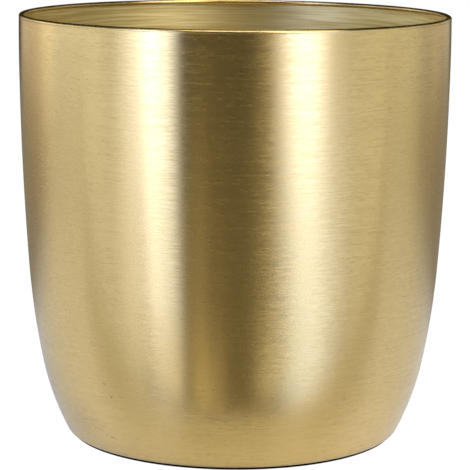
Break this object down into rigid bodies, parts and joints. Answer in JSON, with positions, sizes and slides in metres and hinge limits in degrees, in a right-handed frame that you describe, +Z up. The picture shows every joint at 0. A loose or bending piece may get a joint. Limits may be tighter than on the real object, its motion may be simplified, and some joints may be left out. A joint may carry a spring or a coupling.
{
  "type": "cachepot",
  "caption": "Round spun brass cachepot with brushed wall drawn in towards the foot, wired bead at the mouth, dished floor and thin pads, for holding an inner plant pot.",
  "frame": {"origin": "on the pot's axis, in the plane of the surface that its pads stand on", "axes": "+Z up along the pot's axis, out of the mouth; -Y is the side that the picture shows"},
  "size_m": [0.2, 0.2, 0.197],
  "materials": {
    "brushed_brass": "brushed round the axis, clear lacquer",
    "wire_steel": "drawn, zinc coated",
    "pad_foam": "closed-cell foam, matte",
    "adhesive": "pressure-sensitive film"
  },
  "bodies": {
    "root": {"pot_shell": "brushed_brass", "rim_wire": "wire_steel", "foot_pad_1": "pad_foam", "foot_pad_2": "pad_foam", "foot_pad_3": "pad_foam", "foot_pad_4": "pad_foam", "pad_adhesive_1": "adhesive", "pad_adhesive_2": "adhesive", "pad_adhesive_3": "adhesive", "pad_adhesive_4": "adhesive"}
  },
  "joints": []
}
